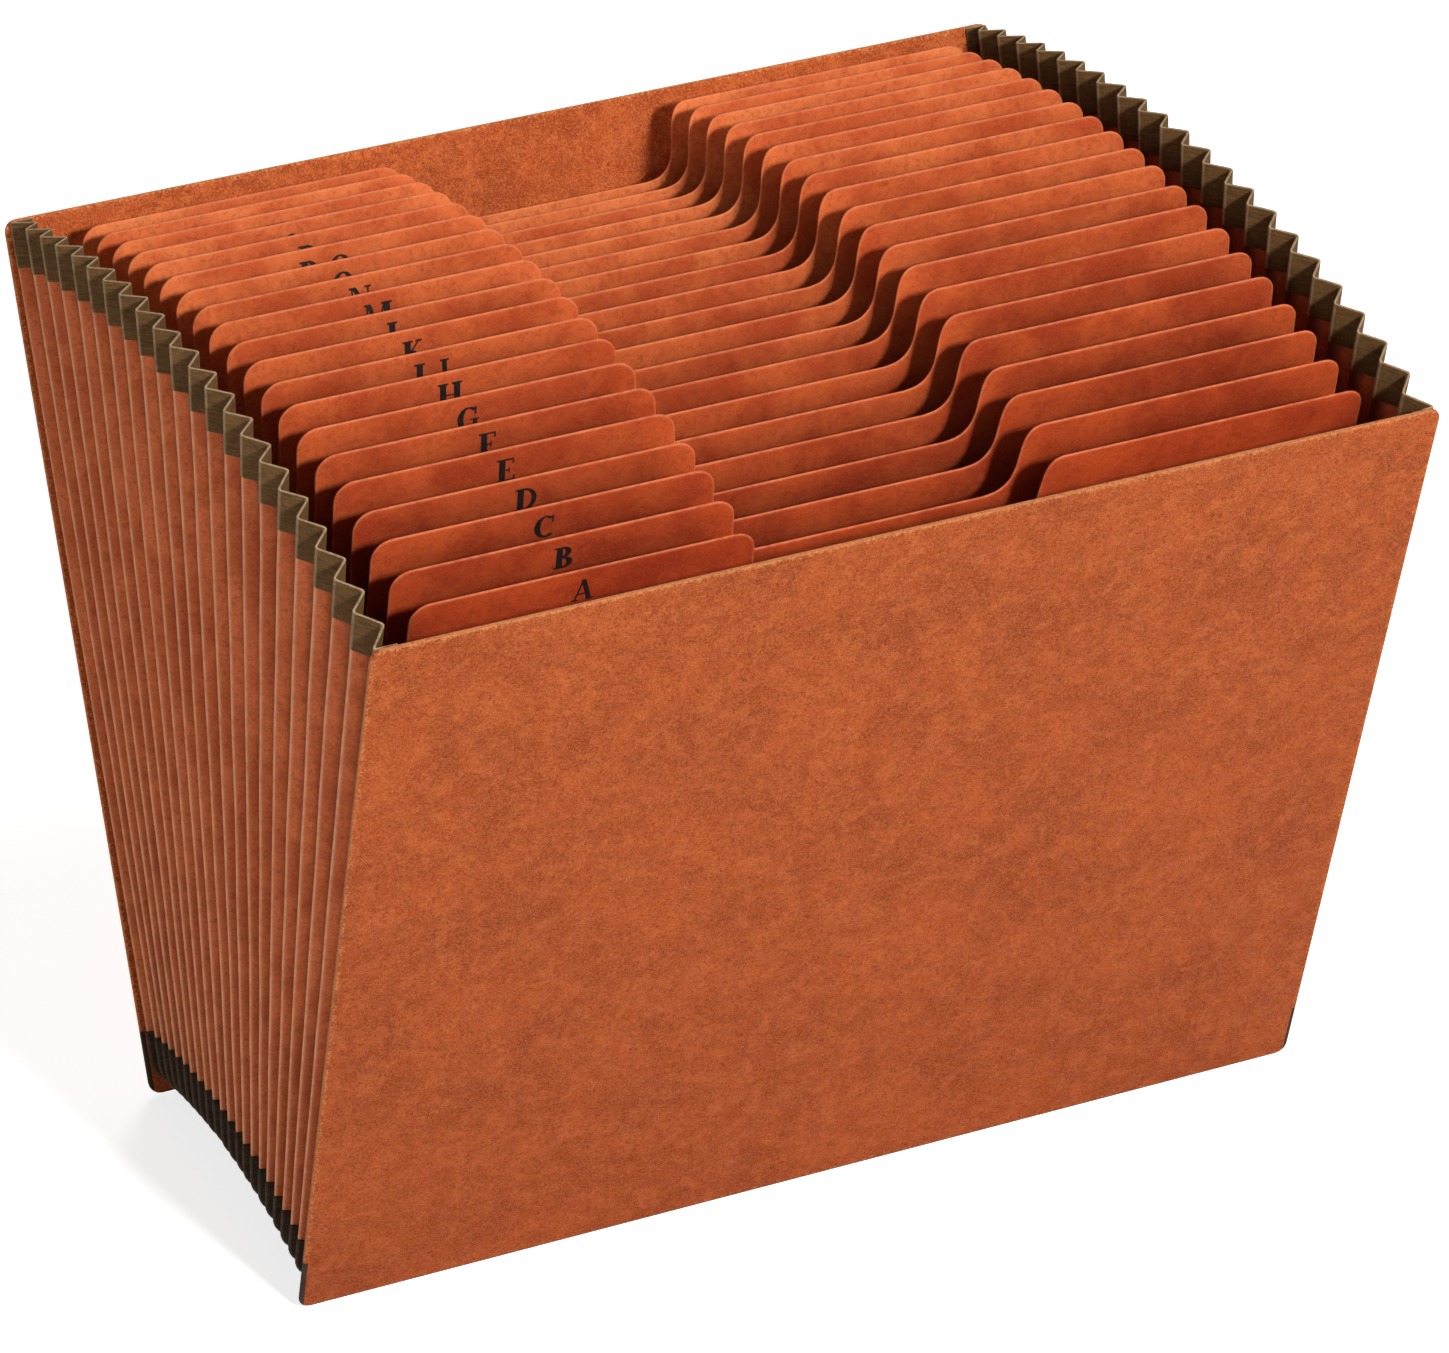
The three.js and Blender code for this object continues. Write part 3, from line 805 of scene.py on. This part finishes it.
def glyph_shapes():
    """Width and strokes of each letter."""
    arms = head_bar(0.08, 0.6) + block(0.2, 0.47, 0.46, 0.525)
    head_tip = block(0.55, 0.76, 0.6, 1)
    middle_tip = block(0.42, 0.38, 0.46, 0.62)
    curl = bowl(0.4, 0.5, 0.4, 0.5, 48, 312) + block(0.62, 0.66, 0.68, 0.97)
    ring = bowl(0.39, 0.5, 0.39, 0.5, 0, 360)
    return {
        "A": (0.76, slant(0.1, 0, 0.37, 1, 0.06) + slant(0.62, 0, 0.37, 1, 0.17)
              + block(0.18, 0.28, 0.52, 0.34) + foot_bar(0, 0.22) + foot_bar(0.5, 0.76)),
        "B": (0.66, stem(0.08) + bowl(0.3, 0.745, 0.29, 0.255, -90, 90)
              + bowl(0.32, 0.26, 0.34, 0.26, -90, 90) + block(0.2, 0.48, 0.34, 0.53)),
        "C": (0.7, curl),
        "D": (0.76, stem(0.08) + bowl(0.3, 0.5, 0.46, 0.5, -90, 90, 0.17)),
        "E": (0.66, stem(0.08) + arms + foot_bar(0.08, 0.64) + head_tip
              + block(0.59, 0, 0.64, 0.25) + middle_tip),
        "F": (0.62, stem(0.08) + arms + head_tip + middle_tip),
        "G": (0.78, curl + block(0.56, 0.08, 0.71, 0.45) + block(0.48, 0.42, 0.78, 0.475)),
        "H": (0.82, stem(0.08) + stem(0.58) + block(0.2, 0.47, 0.6, 0.525)),
        "I": (0.32, stem(0.08)),
        "J": (0.42, block(0.2, 0.2, 0.36, 1) + head_bar(0.12, 0.44)
              + bowl(0.18, 0.2, 0.18, 0.2, 180, 360, 0.1)),
        "K": (0.76, stem(0.08) + slant(0.22, 0.42, 0.6, 0.98, 0.07) + slant(0.62, 0, 0.36, 0.58, 0.17)
              + foot_bar(0.48, 0.76) + head_bar(0.48, 0.7)),
        "L": (0.62, stem(0.08) + foot_bar(0.08, 0.6) + block(0.55, 0, 0.6, 0.28)),
        "M": (0.96, stem(0.08, w=0.06) + slant(0.46, 0.02, 0.17, 1, 0.16)
              + slant(0.46, 0.02, 0.76, 1, 0.06) + stem(0.72)),
        "N": (0.8, stem(0.08, w=0.06) + slant(0.66, 0, 0.17, 1, 0.17) + stem(0.66, low=False, w=0.06)),
        "O": (0.78, ring),
        "P": (0.62, stem(0.08) + bowl(0.3, 0.72, 0.32, 0.28, -90, 90)),
        "Q": (0.8, ring + slant(0.66, -0.14, 0.42, 0.12, 0.14)),
        "R": (0.74, stem(0.08) + bowl(0.3, 0.72, 0.3, 0.28, -90, 90)
              + slant(0.62, 0, 0.38, 0.48, 0.16) + foot_bar(0.54, 0.74)),
        "S": (0.56, bowl(0.28, 0.74, 0.24, 0.26, 60, 270, 0.1, 0.07)
              + bowl(0.28, 0.27, 0.26, 0.27, -120, 90, 0.12, 0.07)),
        "T": (0.7, block(0.27, 0, 0.43, 1) + head_bar(0, 0.7) + block(0, 0.76, 0.05, 1)
              + block(0.65, 0.76, 0.7, 1) + foot_bar(0.18, 0.52)),
        "U": (0.78, block(0.08, 0.3, 0.24, 1) + block(0.62, 0.3, 0.68, 1)
              + bowl(0.38, 0.32, 0.3, 0.32, 180, 360, 0.1) + head_bar(0, 0.32) + head_bar(0.54, 0.78)),
        "V": (0.76, slant(0.4, 0, 0.14, 1, 0.17) + slant(0.4, 0, 0.64, 1, 0.06)
              + head_bar(0, 0.28) + head_bar(0.52, 0.76)),
        "W": (1.04, slant(0.32, 0, 0.12, 1, 0.15) + slant(0.32, 0, 0.52, 1, 0.06)
              + slant(0.72, 0, 0.52, 1, 0.15) + slant(0.72, 0, 0.92, 1, 0.06)
              + head_bar(0, 0.26) + head_bar(0.8, 1.04)),
        "-": (0.28, block(0.02, 0.36, 0.26, 0.44)),
    }


# From the rear card to the front one.
LABELS = "W U-V T S R P-Q O N M L K I-J H G F E D C B A".split()
CAP_HEIGHT = 7.2
LETTER_STRETCH = 1.1
LETTER_GAP = 0.1
LETTER_DROP = 3.4
LETTER_MIDDLE = 65.0
INK_LIFT = 0.03
STROKE_LIFT = 0.002


def make_letters():
    """Ink just in front of each tab, with overlapping strokes a hair apart."""
    ink = ink_material()
    glyphs = glyph_shapes()
    for number, label in enumerate(LABELS, start=1):
        total = sum(glyphs[c][0] for c in label) + LETTER_GAP * (len(label) - 1)
        cursor = -total / 2
        verts = []
        faces = []
        for c in label:
            width, quads = glyphs[c]
            for k, quad in enumerate(quads):
                start = len(verts)
                raised = HALF_CARD + INK_LIFT + STROKE_LIFT * (k % 7)
                for gx, gy in quad:
                    x = -HALF_WIDTH + LETTER_MIDDLE + (cursor + gx) * CAP_HEIGHT * LETTER_STRETCH
                    h = TAB_TOP - LETTER_DROP - (1 - gy) * CAP_HEIGHT
                    verts.append(place_on_card(number, x, h, raised))
                faces.append([start, start + 1, start + 2, start + 3])
            cursor += width + LETTER_GAP
        add_piece("index_letter_%02d" % number, verts, faces, ink, smooth=False)


# Camera: near the photo's viewpoint, fitted to measured points. Lengths in millimetres, angles in radians.
PHOTO_WIDTH = 1449.0
PHOTO_HEIGHT = 1353.0
FOCAL_PIXELS = 7525.0
CENTRE = (736.5, 664.5)
AZIMUTH = 0.4291
ELEVATION = 0.5365
DISTANCE = 2099.8
TARGET = (9.84, 0.0, 127.96)
SENSOR_WIDTH = 36.0


def set_camera():
    level = math.cos(ELEVATION)
    forward = Vector((math.sin(AZIMUTH) * level, math.cos(AZIMUTH) * level, -math.sin(ELEVATION)))
    right = Vector((math.cos(AZIMUTH), -math.sin(AZIMUTH), 0.0))
    upward = right.cross(forward)
    data = bpy.data.cameras.new("camera")
    data.sensor_width = SENSOR_WIDTH
    data.lens = FOCAL_PIXELS / PHOTO_WIDTH * SENSOR_WIDTH
    data.shift_x = (PHOTO_WIDTH / 2 - CENTRE[0]) / PHOTO_WIDTH
    data.shift_y = (CENTRE[1] - PHOTO_HEIGHT / 2) / PHOTO_WIDTH
    data.clip_end = 50.0
    camera = bpy.data.objects.new("camera", data)
    scene.collection.objects.link(camera)
    turn = Matrix((right, upward, -forward)).transposed().to_4x4()
    camera.matrix_world = Matrix.Translation((Vector(TARGET) - forward * DISTANCE) * MM) @ turn
    scene.camera = camera


# Pale floor and soft light, in metres and watts.
FLOOR_HALF = 8
FLOOR_DROP = 0.0004
FLOOR_GREY = 0.8
FLOOR_GLOW = 0.75
LIGHT_TARGET = (0.0, 0.0, 0.13)
LAMPS = (
    ("key", (0.3, -2.3, 1.6), 0.32, 62.0),
    ("fill", (-2.4, -1.6, 1.0), 1.2, 11.5),
    ("overhead", (0.4, -0.5, 2.6), 0.6, 7.0),
    ("rear", (1.3, 2.4, 1.4), 1.2, 30.0),
)
AMBIENT = 0.075


def seen_directly(tree):
    """1 for rays from the camera, mirrors and glass, and 0 for the light on the object."""
    path = tree.nodes.new("ShaderNodeLightPath")
    total = path.outputs["Is Camera Ray"]
    for word in ("Is Glossy Ray", "Is Transmission Ray"):
        add = tree.nodes.new("ShaderNodeMath")
        add.operation = "ADD"
        add.use_clamp = True
        tree.links.new(total, add.inputs[0])
        tree.links.new(path.outputs[word], add.inputs[1])
        total = add.outputs[0]
    return total


def make_floor():
    a = FLOOR_HALF
    mesh = bpy.data.meshes.new("floor")
    mesh.from_pydata([(-a, -a, 0), (a, -a, 0), (a, a, 0), (-a, a, 0)], [], [(0, 1, 2, 3)])
    floor = bpy.data.objects.new("floor", mesh)
    floor.location.z = -FLOOR_DROP
    scene.collection.objects.link(floor)
    look = Nodes("floor")
    look.finish((FLOOR_GREY, FLOOR_GREY, FLOOR_GREY, 1.0), 1.0, 0.0)
    look.shader.inputs["Emission Color"].default_value = (1.0, 1.0, 1.0, 1.0)
    glow = look.times(seen_directly(look.tree), FLOOR_GLOW)
    look.put(look.shader.inputs["Emission Strength"], glow)
    mesh.materials.append(look.material)


def make_lamp(name, place, size, power):
    light = bpy.data.lights.new(name, "AREA")
    light.shape = "DISK"
    light.size = size
    light.energy = power
    holder = bpy.data.objects.new(name, light)
    holder.location = place
    aim = Vector(LIGHT_TARGET) - Vector(place)
    holder.rotation_euler = aim.to_track_quat("-Z", "Y").to_euler()
    scene.collection.objects.link(holder)


def background(tree, strength):
    shader = tree.nodes.new("ShaderNodeBackground")
    shader.inputs["Color"].default_value = (1.0, 1.0, 1.0, 1.0)
    shader.inputs["Strength"].default_value = strength
    return shader.outputs[0]


def make_world():
    """White where it is seen, and faint as light on the object."""
    world = bpy.data.worlds.new("world")
    scene.world = world
    world.use_nodes = True
    tree = world.node_tree
    tree.nodes.clear()
    blend = tree.nodes.new("ShaderNodeMixShader")
    tree.links.new(seen_directly(tree), blend.inputs[0])
    tree.links.new(background(tree, AMBIENT), blend.inputs[1])
    tree.links.new(background(tree, 1.0), blend.inputs[2])
    out = tree.nodes.new("ShaderNodeOutputWorld")
    tree.links.new(blend.outputs[0], out.inputs[0])


# Covers keep their CAD form. The back one is a little lighter in tone.
COVERS = (
    ("back_cover", back_foot, back_up, 1.12),
    ("front_cover", front_foot, front_up, 1.0),
)
for name, foot, up, tone in COVERS:
    nodes[name].material_slots[0].material = board_material(name + "_board", foot, up, tone)
make_cards()
make_pleats()
make_letters()
set_camera()
make_floor()
for lamp in LAMPS:
    make_lamp(*lamp)
make_world()
scene.view_settings.view_transform = "Standard"
